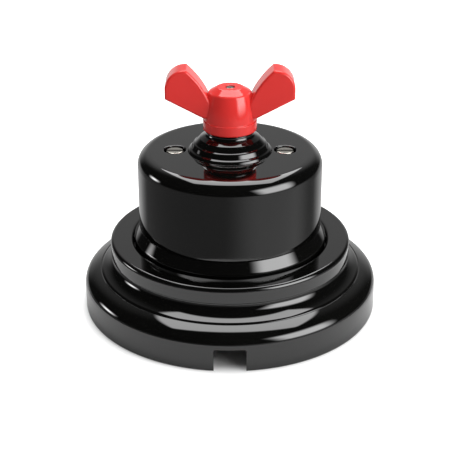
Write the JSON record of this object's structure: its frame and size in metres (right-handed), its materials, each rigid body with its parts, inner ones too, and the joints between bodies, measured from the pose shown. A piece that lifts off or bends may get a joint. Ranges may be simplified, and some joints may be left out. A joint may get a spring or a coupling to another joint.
{
  "type": "two-way rotary light switch",
  "caption": "Round black porcelain rotary light switch on a moulded surface-mounting base, with a red winged knob on a turned neck and a cable notch at the foot.",
  "frame": {"origin": "centre of the base's wall face, on the axis of the knob", "axes": "+Z away from the wall along the knob's axis, -Y towards the cable notch, X along the knob's wings"},
  "size_m": [0.1018, 0.1018, 0.0854],
  "materials": {
    "black_porcelain": "glazed and fired, high gloss",
    "red_plastic": "moulded, satin gloss",
    "nickel_screw": "nickel plated, slotted",
    "steel": "rolled and folded",
    "spring_steel": "hardened, blued",
    "brass": "turned and stamped",
    "phosphor_bronze": "stamped",
    "brown_phenolic": "compression moulded"
  },
  "bodies": {
    "housing": {"mounting_base": "black_porcelain", "switch_base": "black_porcelain", "cover": "black_porcelain", "cover_posts": "brass", "cover_screws": "nickel_screw", "base_screws": "nickel_screw", "yoke": "steel", "yoke_screws": "nickel_screw", "yoke_nuts": "steel", "spindle_bush": "brass", "pivot_bush": "brass", "common_contact": "brass", "way_one_contact": "brass", "way_two_contact": "brass", "common_terminal": "brass", "way_one_terminal": "brass", "way_two_terminal": "brass", "terminal_clamp_screws": "nickel_screw", "terminal_fixing_screws": "nickel_screw", "spring_pin": "steel", "detent_spring": "spring_steel"},
    "turning_parts": {"spindle": "steel", "rotor": "brown_phenolic", "drive_pin": "steel", "wiper_blade": "phosphor_bronze", "blade_rivets": "brass", "thrust_washer": "brass", "retaining_clip": "spring_steel", "knob": "red_plastic", "knob_screw": "nickel_screw"}
  },
  "joints": [
    {"name": "knob_turn", "type": "hinge", "parent": "housing", "child": "turning_parts", "pos_m": [0, 0, 0.0639], "axis": [0, 0, 1], "continuous": true, "deforming": ["detent_spring"]}
  ]
}
